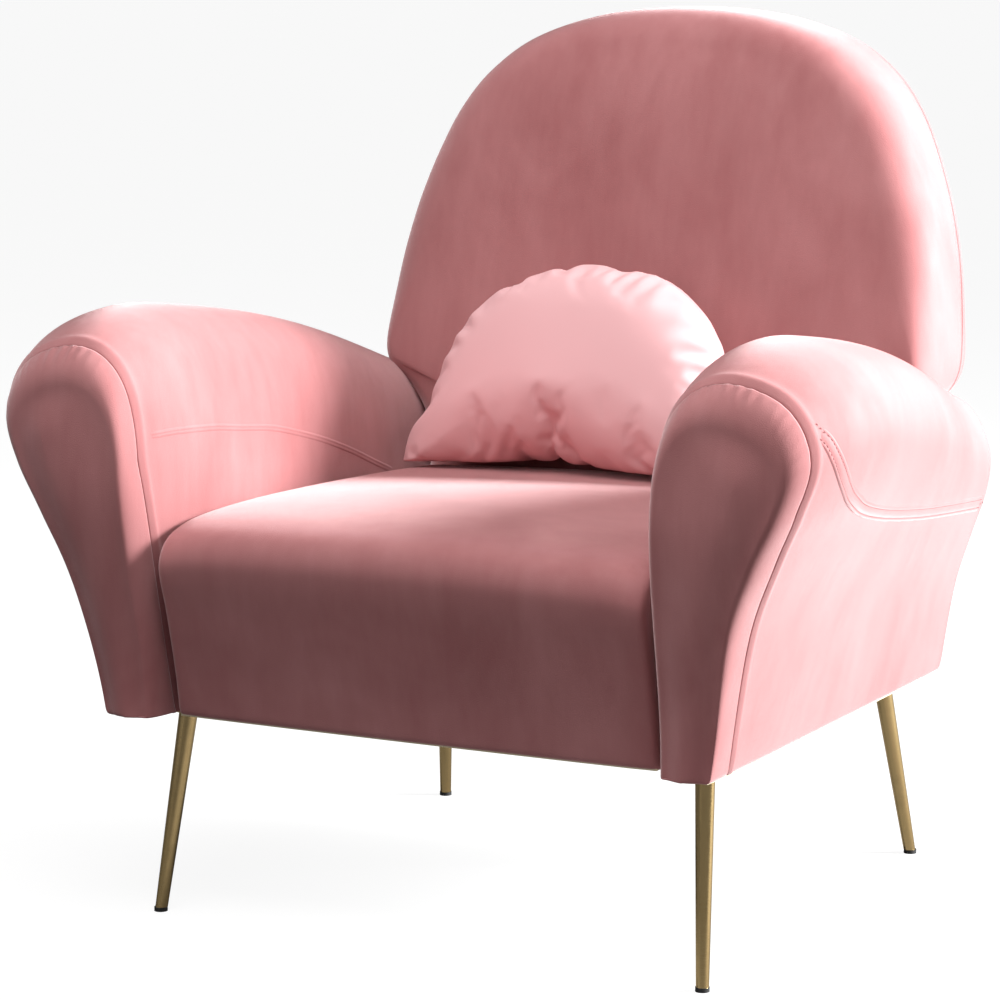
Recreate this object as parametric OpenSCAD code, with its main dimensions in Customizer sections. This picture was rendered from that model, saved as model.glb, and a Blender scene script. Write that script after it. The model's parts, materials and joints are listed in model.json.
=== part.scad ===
// Upholstered armchair with a high arched back, flared teardrop arms, a waterfall seat, a loose
// half-moon cushion and four splayed tapered legs. Millimetres, +Z up, the front faces -Y, and the
// origin is on the floor under the middle of the chair.

/* [Base and seat] */
// Height of the upholstered underside above the floor
base_z = 199; // [195:1:205]
// Half the clear width of the seat between the arms
seat_half_w = 251; // [244:1:252]
// Height of the middle of the seat above the floor
seat_top_z = 402; // [396:1:408]
// Thickness of the plywood boards
ply = 18; // [15:1:18]
// Thickness of the solid rails
rail_t = 22; // [18:1:22]

/* [Back] */
// Height of the top of the arched back
back_top_z = 859; // [850:1:875]
// Thickness of the upholstered back
back_t = 125; // [120:1:128]
// How far the back leans for each millimetre of height
back_lean = 0.185; // [0.175:0.005:0.19]

/* [Legs] */
// Outside radius of a leg at its top
leg_top_r = 9.3; // [8.5:0.1:10]
// Outside radius of a leg at its foot
leg_foot_r = 5.8; // [5.5:0.1:6.5]
// Wall of the leg tube
leg_wall = 1.2; // [1:0.1:1.4]

/* [Cushion] */
// Half the width of the loose cushion
cushion_half_w = 205; // [190:1:210]
// Height of the loose cushion along its own face
cushion_h = 209; // [200:1:225]
// Thickness of the loose cushion at its middle
cushion_t = 122; // [110:1:126]

/* [Covers] */
// Thickness of a velvet cover
cover_t = 2; // [1.5:0.5:2]
// Gap left between a cover and the foam under it
cover_gap = 1; // [1:0.1:1.5]

/* [Hidden] */
$fn = 48;
foam_inset = cover_t + cover_gap;
lean_angle = atan(back_lean);

// Arm outlines as [x, z], from the inner bottom edge over the top to the outer bottom edge.
// The front one bounds the flat of the nose, the crest one is the fullest, and the rear one is the lowest.
arm_nose = [[269, base_z], [272, 330], [275, 432], [280, 470], [291, 495], [307, 509], [327, 513],
            [350, 509], [370, 498], [382, 482], [384, 462], [374, 433], [353, 388], [332, 326], [312, base_z]];
arm_crest = [[253, base_z], [253, 330], [253, 440], [257, 496], [269, 539], [293, 568], [325, 581],
             [362, 578], [397, 563], [420, 534], [428, 497], [413, 452], [385, 402], [350, 327], [314, base_z]];
arm_rear = [[257, base_z], [257, 315], [257, 390], [260, 424], [269, 449], [285, 470], [307, 481],
            [328, 477], [345, 460], [357, 437], [361, 412], [356, 380], [342, 338], [326, 285], [312, base_z]];
arm_front_y = -368;
arm_crest_y = -232;
arm_rear_y = 222;
arm_end_y = 258;
arm_hump = 16;
front_rake = 36;
front_rake_h = 240;
nose_angles = [0, 14, 28, 42, 56, 70, 90];
body_stations = [-170, -100, -20, 60, 130, 180, arm_rear_y];
// Rings that round off an arm's rear end, as [distance before the end, inset].
arm_tail = [[20, 3], [8, 10], [1, 24]];

// Right half of the back's outline as [x, z], from its bottom corner up to the middle of the arch.
back_half = [[250, base_z], [250, 330], [250, 425], [255, 444], [263, 465], [277, 484], [294, 497],
             [306, 514], [309, 542], [303, 602], [293, 643], [282, 679], [268, 715], [248, 755],
             [217, 794], [167, 829], [90, 852], [0, back_top_z]];
back_front_y = 124;
// The shoulder above the arm turns too tightly for a full inset, so the inset eases off round this height.
shoulder_z = 509;
shoulder_reach = 45;
shoulder_ease = 0.6;
back_crown = 10;
// Steps through the back's thickness as [depth, inset].
back_steps = [[0, 40], [4, 26], [12, 13], [24, 4], [42, 0], [90, 0], [112, 5], [back_t, 18]];

// Side outline of the seat as [y, drop below seat_top_z], from the front bottom edge to the rear.
seat_front = [[-308, seat_top_z - base_z], [-316, 160], [-330, 105], [-341, 62], [-342, 38], [-331, 19], [-308, 9],
              [-268, 3], [-190, 0], [-80, 1], [20, 4], [90, 7], [142, 10]];
seat_rear_y = 111;
seat_crown = 8;
seat_stations = [-1, -0.97, -0.9, -0.7, -0.35, 0, 0.35, 0.7, 0.9, 0.97, 1];

pad_t = 18;
rear_pad_y = 236;
rail_z = base_z + pad_t;
rail_top_z = 300;
board_front_y = -288;
arm_board_rear_y = 228;
side_rail_x = 224;
arm_rail_x = 246.5;
board_depth = 84;
back_rail_depth = board_depth - rail_t;
plate_t = 3;
dust_t = 1;
plate_top_z = base_z - dust_t;
plate_half = 25;
plate_hole = 18;
screw_r = 2;
bolt_r = 4;
bolt_z = 262;
bolt_stations = [-170, 0, 150];

// Where each leg leaves its plate and where its foot stands, as [top x, top y, foot x, foot y].
front_leg = [272, -251, 286, -284];
rear_leg = [251, 222, 272, 261];
glide_h = 4;
spring_rows = [-168, -84, 0, 84, 168];
back_strap_v = [150, 230, 310, 390, 470];

cushion_x = -33;
cushion_y = 71;
cushion_z = 410;
cushion_tilt = 20;
cushion_rings = [[0.12, 1], [0.45, 0.88], [0.75, 0.6], [0.92, 0.3], [1, 0.04]];

function mix(a, b, t) = a * (1 - t) + b * t;
function ease(t) = let (c = max(0, min(1, t))) c * c * (3 - 2 * c);

// Point on the smooth curve through the points p, at u from 0 to len(p) - 1.
function curve_at(p, u) =
    let (last = len(p) - 1, i = min(floor(u), last - 1), t = u - i,
         a = p[max(i - 1, 0)], b = p[i], c = p[i + 1], d = p[min(i + 2, last)])
    0.5 * (2 * b + (c - a) * t + (2 * a - 5 * b + 4 * c - d) * t * t + (3 * b - a - 3 * c + d) * t * t * t);

function smooth_line(p, steps) = [for (i = [0 : (len(p) - 1) * steps]) curve_at(p, i / steps)];

// The line p moved by d to the right of its direction, which is inwards on a clockwise outline.
function inset_line(p, d) =
    [for (i = [0 : len(p) - 1])
        let (t = p[min(i + 1, len(p) - 1)] - p[max(i - 1, 0)])
        p[i] + d * [t[1], -t[0]] / norm(t)];

function inset_varied(p, low, high) =
    [for (i = [0 : len(p) - 1])
        let (t = p[min(i + 1, len(p) - 1)] - p[max(i - 1, 0)],
             d = mix(low, high, ease((p[i][1] - 290) / 150)))
        p[i] + d * [t[1], -t[0]] / norm(t)];

// Solid skin through rings of points. Each end is closed by a ladder between the ring's two sides.
module loft(rings) {
    n = len(rings[0]);
    last = len(rings) - 1;
    function rung(o, i) = [[o + i, o + i + 1, o + n - 2 - i], [o + i, o + n - 2 - i, o + n - 1 - i]];
    function ladder(o) =
        [for (i = [0 : floor((n - 2) / 2)]) each
            (i + 1 == n - 2 - i ? [[o + i, o + i + 1, o + n - 1 - i]] :
             i + 1 > n - 2 - i ? [] : rung(o, i))];
    function turned(faces) = [for (f = faces) [f[2], f[1], f[0]]];
    sides = [for (k = [0 : last - 1], i = [0 : n - 1])
        let (a = k * n + i, b = k * n + (i + 1) % n) each [[b + n, b, a], [a + n, b + n, a]]];
    polyhedron([for (r = rings) each r], concat(sides, ladder(0), turned(ladder(last * n))), convexity = 6);
}

// ---- Arms ----

// Arm outline at y behind the crest.
function arm_outline(y) =
    let (t = (y - arm_crest_y) / (arm_rear_y - arm_crest_y), lift = arm_hump * sin(180 * min(1, max(0, t))))
    [for (i = [0 : len(arm_crest) - 1])
        let (p = mix(arm_crest[i], arm_rear[i], t)) [p[0], p[1] + lift * ease((p[1] - 330) / 200)]];

function arm_rake(y, z) = front_rake * (1 - ease((z - base_z) / front_rake_h)) * ease((-y - 60) / 200);

// One ring of an arm as [x, y, z], with its open bottom edge at floor_z.
function arm_ring(outline, y, inset, floor_z) =
    let (p = inset_line(smooth_line(outline, 2), inset), last = len(p) - 1)
    [for (i = [0 : last])
        let (z = (i == 0 || i == last) ? floor_z : max(p[i][1], floor_z)) [p[i][0], y + arm_rake(y, z), z]];

// The whole upholstered arm, taken in by an inset on every side but the bottom.
module arm_solid(inset, floor_z) {
    nose = [for (a = nose_angles)
        arm_ring([for (i = [0 : len(arm_nose) - 1]) mix(arm_nose[i], arm_crest[i], sin(a))],
                 arm_crest_y + (arm_front_y + inset - arm_crest_y) * cos(a), inset, floor_z)];
    body = [for (y = body_stations) arm_ring(arm_outline(y), y, inset, floor_z)];
    tail = [for (s = arm_tail) arm_ring(arm_rear, arm_end_y - s[0] - inset, inset + s[1], floor_z)];
    loft(concat(nose, body, tail));
}

// Hollow inside the arm's foam, which holds the arm's boards and rails.
function arm_hollow_line(y, extra) =
    inset_varied(smooth_line(arm_outline(y), 1), 12 + extra, 25 + extra);

module arm_hollow() {
    loft([for (y = [board_front_y - 2, -180, -60, 60, 160, 247])
        let (p = arm_hollow_line(max(y, arm_crest_y), 0), last = len(p) - 1)
        [for (i = [0 : last]) [p[i][0], y, (i == 0 || i == last) ? base_z - 5 : p[i][1]]]]);
}

// The arm's inner side below the seat is left bare, where its rail meets the seat's rail.
module arm_inner_opening() {
    translate([200, board_front_y - 2, base_z - 10]) cube([73, arm_end_y - 12 - board_front_y, 105]);
}

// Everything in front of the seam that joins the arm's front panel to the rest of its cover.
module arm_seam_cutter(gap) {
    translate([200, 0, 0]) rotate([90, 0, 90]) linear_extrude(260)
        polygon([[-600, 100], [-294 + gap, 100], [-294 + gap, base_z], [-345 + gap, 445], [-345 + gap, 700],
                 [-600, 700]]);
}

module sided(side) {
    if (side > 0) children();
    else mirror([1, 0, 0]) children();
}

module arm_shell() {
    difference() {
        arm_solid(0, base_z);
        arm_solid(cover_t, base_z - 5);
        arm_inner_opening();
    }
}

module arm_cover(side) {
    color("#e3a1a6") sided(side) difference() {
        arm_shell();
        arm_seam_cutter(0);
    }
}

module arm_front_panel(side) {
    color("#c98489") sided(side) intersection() {
        arm_shell();
        arm_seam_cutter(-0.5);
    }
}

module arm_foam(side) {
    color("#f0e6c8") sided(side) difference() {
        arm_solid(foam_inset, base_z);
        arm_hollow();
        arm_inner_opening();
    }
}

module arm_board(side, y, floor_z) {
    p = arm_hollow_line(max(y + ply, arm_crest_y), 2);
    last = len(p) - 1;
    color("#cda670") sided(side) translate([0, y + ply, 0]) rotate([90, 0, 0]) linear_extrude(ply)
        polygon([for (i = [0 : last]) [p[i][0], (i == 0 || i == last) ? floor_z : p[i][1]]]);
}

module arm_front_board(side) { arm_board(side, board_front_y, rail_z); }
module arm_rear_board(side) { arm_board(side, arm_board_rear_y, rail_z); }

module along_x(points, width) {
    rotate([90, 0, 90]) linear_extrude(width) polygon(points);
}

module arm_rails(side) {
    front = board_front_y + ply;
    rear = arm_board_rear_y;
    color("#c69a5f") sided(side) {
        difference() {
            translate([arm_rail_x, front, rail_z]) cube([rail_t, rear - front, 73]);
            for (y = bolt_stations) translate([arm_rail_x - 1, y, bolt_z]) rotate([0, 90, 0])
                cylinder(r = 5.2, h = rail_t + 2);
        }
        translate([294, 0, 0]) along_x([[front, 500], [front, 518], [rear, 428], [rear, 410]], 28);
        translate([290, 0, 0]) along_x([[front, 330], [front, 366], [rear, 336], [rear, 300]], ply);
    }
}

// Hex-head bolts that hold the arms to the seat's side rails, each with its washer.
module arm_bolts() {
    color("#b9bcc0") for (side = [-1, 1]) sided(side) for (y = bolt_stations)
        translate([side_rail_x, y, bolt_z]) rotate([0, 90, 0]) {
            translate([0, 0, -1.5]) difference() {
                cylinder(r = 9, h = 1.5);
                translate([0, 0, -1]) cylinder(r = bolt_r + 0.2, h = 4);
            }
            translate([0, 0, -7]) cylinder(r = 6.5, h = 5.4, $fn = 6);
            translate([0, 0, -2]) cylinder(r = bolt_r, h = 46);
        }
}

module arm_tee_nuts() {
    color("#a7abb0") for (side = [-1, 1]) sided(side) for (y = bolt_stations)
        translate([arm_rail_x + rail_t, y, bolt_z]) rotate([0, 90, 0]) difference() {
            union() {
                cylinder(r = 10, h = 1.5);
                translate([0, 0, -12]) cylinder(r = 5, h = 12.5);
            }
            translate([0, 0, -13]) cylinder(r = bolt_r + 0.1, h = 16);
        }
}

// ---- Seat ----

// Side outline of the seat at its middle, as [y, z], from the front bottom edge to the rear top edge.
seat_line = [for (p = smooth_line(seat_front, 2)) [p[0], seat_top_z - p[1]]];

// The seat's outer form, open along the bottom and rear, which both end where the caller says.
module seat_solid(inset, floor_z, rear_step) {
    p = inset_line(seat_line, inset);
    last = len(p) - 1;
    loft([for (s = seat_stations)
        let (x = -s * (seat_half_w - inset), drop = seat_crown * s * s + 5 * ease((abs(s) - 0.86) / 0.14))
        concat([for (i = [0 : last])
                   let (z = max(p[i][1] - drop * ease((p[i][1] - 300) / 80), floor_z))
                   [x, i == last ? p[i][0] + inset - rear_step : p[i][0] + 0.4 * drop * (1 - ease((p[i][0] + 330) / 60)),
                    i == 0 ? floor_z : z]],
               [[x, seat_rear_y - rear_step, floor_z]])]);
}

module seat_foam() {
    color("#efe3c0") difference() {
        seat_solid(foam_inset, base_z, foam_inset);
        translate([-300, board_front_y - 2, base_z - 10]) cube([600, 600, rail_top_z + 5 - base_z + 10]);
    }
}

module seat_cover() {
    color("#b56f73") difference() {
        seat_solid(0, base_z, 0);
        seat_solid(cover_t, base_z - 5, -5);
        translate([-300, board_front_y - 1, base_z - 10]) cube([600, 600, rail_top_z + 5 - base_z + 10]);
    }
}

module seat_rail_front() {
    color("#cda670") translate([-side_rail_x, board_front_y, rail_z])
        cube([2 * side_rail_x, rail_t, rail_top_z - rail_z]);
}

// Outline of the y-z plane in front of the leaning back at the given depth.
function lean_y(z, depth) = back_front_y + back_lean * (z - base_z) + depth / cos(lean_angle);

module seat_side_rail(side) {
    color("#cda670") sided(side) difference() {
        translate([side_rail_x, 0, 0]) along_x([[board_front_y, rail_z], [board_front_y, rail_top_z],
            [lean_y(rail_top_z, back_rail_depth), rail_top_z], [lean_y(rail_z, back_rail_depth), rail_z]], rail_t);
        for (y = bolt_stations) translate([side_rail_x - 1, y, bolt_z]) rotate([0, 90, 0])
            cylinder(r = bolt_r + 0.2, h = rail_t + 2);
    }
}

module leaning() {
    translate([0, back_front_y, base_z]) rotate([-lean_angle, 0, 0]) children();
}

// Distances up the leaning back at which its rear rail and its board clear the corner pads.
rear_rail_v = 35;
rail_v = 38.5;
back_bolt_x = [-180, -60, 60, 180];
back_bolt_v = 60;

module back_bolt_holes(r) {
    for (x = back_bolt_x) translate([x, back_rail_depth - 20, back_bolt_v]) rotate([-90, 0, 0])
        cylinder(r = r, h = 80);
}

module seat_rail_rear() {
    color("#cda670") leaning() difference() {
        translate([-side_rail_x, back_rail_depth, rear_rail_v]) cube([2 * side_rail_x, rail_t - 0.2, 79]);
        back_bolt_holes(bolt_r);
    }
}

// Flat zigzag wire along Y, from front_y to rear_y about x.
module zigzag_spring(x, front_y, rear_y) {
    wire = 3.8;
    swing = 21;
    turns = 10;
    steps = 64;
    function mid(i) = let (t = i / steps)
        [x + swing * sin(360 * turns * t), mix(front_y, rear_y, t)];
    function side(i, d) = let (a = mid(max(i - 1, 0)), b = mid(min(i + 1, steps)), t = b - a)
        mid(i) + d * [t[1], -t[0]] / norm(t);
    linear_extrude(wire)
        polygon(concat([for (i = [0 : steps]) side(i, wire / 2)], [for (i = [steps : -1 : 0]) side(i, -wire / 2)]));
}

spring_front_y = board_front_y + 8;
spring_rear_y = lean_y(rail_top_z - 6, back_rail_depth) + 6;

module seat_springs() {
    color("#8e9298") for (x = spring_rows) translate([0, 0, rail_top_z])
        zigzag_spring(x, spring_front_y, spring_rear_y);
}

module spring_clips() {
    color("#7c8086") for (x = spring_rows, y = [spring_front_y - 5, spring_rear_y - 13])
        translate([x - 12, y, rail_top_z + 3.8]) cube([24, 18, 1]);
}

// ---- Underside and legs ----

module leg_pads() {
    color("#c69a5f") for (side = [-1, 1]) sided(side) {
        difference() {
            translate([228, board_front_y, base_z]) cube([70, 76, pad_t]);
            screw_holes(front_leg);
        }
        difference() {
            translate([206, 150, base_z]) cube([92, rear_pad_y - 150, pad_t]);
            screw_holes(rear_leg);
        }
    }
}

module at_screws(leg) {
    for (dx = [-plate_hole, plate_hole], dy = [-plate_hole, plate_hole])
        translate([leg[0] + dx, leg[1] + (leg[1] > 0 ? -14 : 0) + dy, plate_top_z - plate_t]) children();
}

// Room for the rear corner pads where they reach into the back.
module rear_pad_space() {
    for (side = [-1, 1]) sided(side)
        translate([205, 140, base_z - 20]) cube([94, rear_pad_y + 1 - 140, pad_t + 20.5]);
}

module screw_holes(leg) {
    at_screws(leg) translate([0, 0, -1]) cylinder(r = screw_r, h = plate_t + dust_t + 16);
}

module leg_screws() {
    color("#6f7277") for (side = [-1, 1], leg = [front_leg, rear_leg]) sided(side) at_screws(leg) {
        translate([0, 0, -2]) cylinder(r = 3.8, h = 2);
        cylinder(r = screw_r, h = plate_t + dust_t + 14);
    }
}

module leg_taper(leg, r_top, r_foot) {
    run = [leg[2] - leg[0], leg[3] - leg[1], -(plate_top_z - plate_t)];
    translate([leg[0], leg[1], plate_top_z - plate_t]) rotate([0, 0, atan2(run[1], run[0])])
        rotate([0, acos(run[2] / norm(run)), 0]) translate([0, 0, -8])
            cylinder(r1 = r_top, r2 = r_foot, h = norm(run) + 16);
}

module leg(side, spot) {
    color("#c8a24e") sided(side) {
        difference() {
            union() {
                intersection() {
                    leg_taper(spot, leg_top_r, leg_foot_r);
                    translate([0, -400, glide_h]) cube([500, 800, plate_top_z - plate_t - 0.5 - glide_h]);
                }
                translate([spot[0] - plate_half, spot[1] + (spot[1] > 0 ? -14 : 0) - plate_half,
                           plate_top_z - plate_t])
                    cube([2 * plate_half, 2 * plate_half, plate_t]);
                translate([spot[0], spot[1], plate_top_z - plate_t - 2]) cylinder(r = leg_top_r + 2.5, h = 2.5);
            }
            intersection() {
                leg_taper(spot, leg_top_r - leg_wall, leg_foot_r - leg_wall);
                translate([0, -400, 0]) cube([500, 800, plate_top_z - plate_t]);
            }
            screw_holes(spot);
        }
    }
}

module foot_glides() {
    color("#2b2a29") for (side = [-1, 1], spot = [front_leg, rear_leg]) sided(side) {
        translate([spot[2], spot[3], 0]) cylinder(r = leg_foot_r + 0.7, h = glide_h);
        intersection() {
            leg_taper(spot, leg_top_r - leg_wall - 0.3, leg_foot_r - leg_wall - 0.3);
            translate([0, -400, glide_h - 1]) cube([500, 800, 13]);
        }
    }
}

module dust_cover() {
    color("#1f1e1f") difference() {
        translate([0, 0, plate_top_z]) linear_extrude(dust_t)
            polygon([[-306, -284], [306, -284], [300, 244], [-300, 244]]);
        for (side = [-1, 1], leg = [front_leg, rear_leg]) sided(side) screw_holes(leg);
    }
}

// ---- Back ----

// The back's whole outline as [x, z], from the left bottom corner over the arch to the right one.
back_right = smooth_line(back_half, 2);
back_outline = concat([for (p = back_right) [-p[0], p[1]]],
                      [for (i = [len(back_right) - 2 : -1 : 0]) back_right[i]]);

function back_inset(inset, extra) =
    [for (i = [0 : len(back_outline) - 1])
        let (last = len(back_outline) - 1,
             t = back_outline[min(i + 1, last)] - back_outline[max(i - 1, 0)],
             off = (back_outline[i][1] - shoulder_z) / shoulder_reach,
             d = inset + extra * (1 - shoulder_ease * exp(-off * off)))
        back_outline[i] + d * [t[1], -t[0]] / norm(t)];

function back_ring(inset, extra, depth, floor_z) =
    let (p = back_inset(inset, extra), last = len(p) - 1)
    [for (i = [0 : last])
        let (z = (i == 0 || i == last) ? floor_z : p[i][1])
        [p[i][0], back_front_y + back_lean * (z - base_z) + depth, z]];

function shrunk(ring, k, depth) =
    [for (p = ring) let (z = mix(450, p[2], k))
        [p[0] * k, back_front_y + back_lean * (z - base_z) + depth, z]];

module back_solid(inset, floor_z) {
    first = back_ring(inset, back_steps[0][1], inset, floor_z);
    loft(concat([shrunk(first, 0.5, inset - back_crown)],
                [for (s = back_steps) back_ring(inset, s[1], min(max(s[0], inset), back_t - inset), floor_z)]));
}

// Space behind the given depth of the leaning back.
module behind(depth) {
    translate([-400, 0, 0]) along_x([[lean_y(0, depth), 0], [lean_y(1000, depth), 1000], [900, 1000], [900, 0]], 800);
}

module back_shell() {
    difference() {
        back_solid(0, base_z);
        back_solid(cover_t, base_z - 9);
    }
}

outside_depth = (back_t - 25) * cos(lean_angle);

// Clears the seat and its frame out of the back's lower front.
module below_seat(depth) {
    low = base_z - 20;
    high = rail_top_z + 8;
    translate([-400, 0, 0]) along_x([[0, low], [0, high], [lean_y(high, depth), high], [lean_y(low, depth), low]], 800);
}

module back_cover() {
    color("#c07a7d") difference() {
        back_shell();
        behind(outside_depth);
        below_seat(outside_depth + 1);
    }
}

module outside_back_cover() {
    color("#cf8c90") difference() {
        intersection() {
            back_shell();
            behind(outside_depth + 0.5);
        }
        rear_pad_space();
    }
}

// The plywood arch, as an outline on its own face.
board_line = [for (p = inset_line([for (q = back_outline) [q[0], (q[1] - base_z) / cos(lean_angle)]], 24)) p];

module board_outline(extra) {
    last = len(board_line) - 1;
    p = inset_line(board_line, -extra);
    polygon([for (i = [0 : last]) [p[i][0], (i == 0 || i == last) ? rail_v - extra : max(p[i][1], rail_v)]]);
}

module on_board(depth, thick) {
    leaning() translate([0, depth + thick, 0]) rotate([90, 0, 0]) linear_extrude(thick) children();
}

window_half_w = 165;
window_v = [120, 520];

module back_board() {
    color("#cda670") difference() {
        on_board(board_depth, ply) difference() {
            board_outline(0);
            translate([-window_half_w, window_v[0]]) square([2 * window_half_w, window_v[1] - window_v[0]]);
        }
        leaning() back_bolt_holes(bolt_r);
    }
}

module back_cross_rails() {
    color("#c69a5f") for (v = [200, 420]) leaning()
        translate([-window_half_w, board_depth + 2, v]) cube([2 * window_half_w, ply - 4, 42]);
}

module back_webbing() {
    color("#3a3230") for (v = back_strap_v) leaning()
        translate([-window_half_w - 20, board_depth - 1.8, v]) cube([2 * window_half_w + 40, 1.5, 50]);
}

module back_bolts() {
    color("#b9bcc0") leaning() for (x = back_bolt_x) translate([x, 0, back_bolt_v]) rotate([-90, 0, 0]) {
        translate([0, 0, back_rail_depth - 5]) cylinder(r = 6.5, h = 5, $fn = 6);
        translate([0, 0, back_rail_depth - 1]) cylinder(r = bolt_r, h = 1 + rail_t + ply);
    }
}

module back_foam() {
    color("#efe3c0") difference() {
        back_solid(foam_inset, base_z);
        on_board(board_depth - 3, ply + 6) board_outline(3);
        below_seat(board_depth + ply + 3);
        rear_pad_space();
    }
}

// ---- Loose cushion ----

// Half-moon seam line as [x, v], from the left corner over the top to the right corner.
cushion_seam = [for (a = [180 : -10 : 0])
    let (c = cos(a), s = sin(a)) [cushion_half_w * sign(c) * pow(abs(c), 0.92), cushion_h * pow(s, 0.9) - 6 * s]];
cushion_base = [for (x = [0.66, 0.33, 0, -0.33, -0.66]) [x * cushion_half_w, -10 * (1 - x * x)]];
cushion_line = concat(cushion_seam, cushion_base);

module cushion_solid(inset) {
    half = cushion_t / 2 - inset;
    size = (cushion_half_w - inset) / cushion_half_w;
    heart = [0, 0.42 * cushion_h];
    function ring(s, d) = [for (p = cushion_line) let (q = mix(heart, p, s * size)) [q[0], d, q[1]]];
    front = [for (s = cushion_rings) ring(s[0], -half * s[1])];
    rear = [for (i = [len(cushion_rings) - 1 : -1 : 0]) ring(cushion_rings[i][0], half * cushion_rings[i][1])];
    translate([cushion_x, cushion_y, cushion_z]) rotate([-cushion_tilt, 0, 0]) fan(concat(front, rear));
}

// Solid skin through rings, each end closed by a fan from its middle.
module fan(rings) {
    n = len(rings[0]);
    last = len(rings) - 1;
    function middle(r) = [for (k = [0 : 2]) [for (p = r) p[k]] * [for (p = r) 1] / n];
    points = concat([for (r = rings) each r], [middle(rings[0]), middle(rings[last])]);
    sides = [for (k = [0 : last - 1], i = [0 : n - 1])
        let (a = k * n + i, b = k * n + (i + 1) % n) each [[b + n, b, a], [a + n, b + n, a]]];
    first_fan = [for (i = [0 : n - 1]) [i, (i + 1) % n, n * (last + 1)]];
    last_fan = [for (i = [0 : n - 1]) [last * n + (i + 1) % n, last * n + i, n * (last + 1) + 1]];
    polyhedron(points, concat(sides, first_fan, last_fan), convexity = 4);
}

module cushion_cover() {
    color("#c97f83") difference() {
        cushion_solid(0);
        cushion_solid(cover_t);
    }
}

module cushion_fill() { color("#f4f1ea") cushion_solid(foam_inset); }

leg(-1, front_leg);  // leg_front_left
leg(1, front_leg);  // leg_front_right
leg(-1, rear_leg);  // leg_rear_left
leg(1, rear_leg);  // leg_rear_right
foot_glides();
leg_screws();
leg_pads();
seat_rail_front();
seat_rail_rear();
seat_side_rail(-1);  // seat_rail_left
seat_side_rail(1);  // seat_rail_right
seat_springs();
spring_clips();
seat_foam();
seat_cover();
arm_front_board(-1);  // arm_front_board_left
arm_front_board(1);  // arm_front_board_right
arm_rear_board(-1);  // arm_rear_board_left
arm_rear_board(1);  // arm_rear_board_right
arm_rails(-1);  // arm_rails_left
arm_rails(1);  // arm_rails_right
arm_bolts();
arm_tee_nuts();
arm_foam(-1);  // arm_foam_left
arm_foam(1);  // arm_foam_right
arm_cover(-1);  // arm_cover_left
arm_cover(1);  // arm_cover_right
arm_front_panel(-1);  // arm_front_panel_left
arm_front_panel(1);  // arm_front_panel_right
back_board();
back_cross_rails();
back_webbing();
back_bolts();
back_foam();
back_cover();
outside_back_cover();
dust_cover();
cushion_cover();
cushion_fill();
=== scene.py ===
import json
import math

import bmesh
import bpy
from bpy.props import FloatProperty, FloatVectorProperty, IntProperty, PointerProperty
from mathutils import Matrix, Vector, noise


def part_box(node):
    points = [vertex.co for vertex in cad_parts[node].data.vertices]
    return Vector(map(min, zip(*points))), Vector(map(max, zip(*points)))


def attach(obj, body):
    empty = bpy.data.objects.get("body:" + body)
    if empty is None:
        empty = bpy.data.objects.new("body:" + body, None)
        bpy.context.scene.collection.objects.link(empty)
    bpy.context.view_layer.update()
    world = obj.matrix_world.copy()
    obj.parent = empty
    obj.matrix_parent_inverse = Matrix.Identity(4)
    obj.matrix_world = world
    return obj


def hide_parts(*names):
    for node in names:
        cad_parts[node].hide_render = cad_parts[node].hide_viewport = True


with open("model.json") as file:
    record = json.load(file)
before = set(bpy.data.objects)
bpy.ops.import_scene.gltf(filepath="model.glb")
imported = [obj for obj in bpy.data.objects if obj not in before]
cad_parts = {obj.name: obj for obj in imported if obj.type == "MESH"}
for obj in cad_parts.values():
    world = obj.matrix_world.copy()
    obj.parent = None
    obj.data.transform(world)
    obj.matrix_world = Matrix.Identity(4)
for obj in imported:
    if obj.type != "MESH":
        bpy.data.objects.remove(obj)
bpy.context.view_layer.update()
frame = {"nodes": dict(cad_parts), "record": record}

bl_info = {
    "name": "Velvet Armchair",
    "version": (1, 0, 0),
    "blender": (4, 5, 0),
    "location": "View3D > Sidebar > Armchair",
    "description": "Upholsters the packed frame of an armchair in short-pile velvet",
    "category": "Object",
}

MM = 0.001
SIDES = {"left": -1, "right": 1}

# Arm outlines as (x, z) in millimetres, from the inner bottom edge over the top to the outer bottom edge.
# None stands for the height of the underside.
ARM_NOSE = [(269, None), (272, 330), (275, 432), (280, 470), (291, 495), (307, 509), (327, 513),
            (350, 509), (370, 498), (382, 482), (384, 462), (374, 433), (353, 388), (332, 326), (312, None)]
ARM_CREST = [(253, None), (253, 330), (253, 440), (257, 496), (269, 539), (293, 568), (325, 581),
             (362, 578), (397, 563), (420, 534), (428, 497), (413, 452), (385, 402), (350, 327), (314, None)]
ARM_REAR = [(251.5, None), (251.5, 315), (253, 390), (258, 424), (268, 449), (285, 470), (307, 481),
            (328, 477), (345, 460), (357, 437), (361, 412), (356, 380), (342, 338), (326, 285), (312, None)]
ARM_LAST = len(ARM_NOSE) - 1
ARM_APEX = ARM_LAST / 2
ARM_CREST_Y = -232 * MM
ARM_REAR_Y = 222 * MM
# The body of the arm swells most halfway back, above the height it swells from.
ARM_HUMP = 16 * MM
ARM_HUMP_FROM = 330 * MM
ARM_HUMP_RISE = 200 * MM
# The foot of the arm's front rakes back, less with height and not at all behind its end.
FRONT_RAKE = 36 * MM
FRONT_RAKE_HEIGHT = 240 * MM
FRONT_RAKE_END = -60 * MM
FRONT_RAKE_RUN = 200 * MM
# Rings close in on a line this far below the top of the arm.
MIDDLE_DEPTH = 48 * MM
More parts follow.
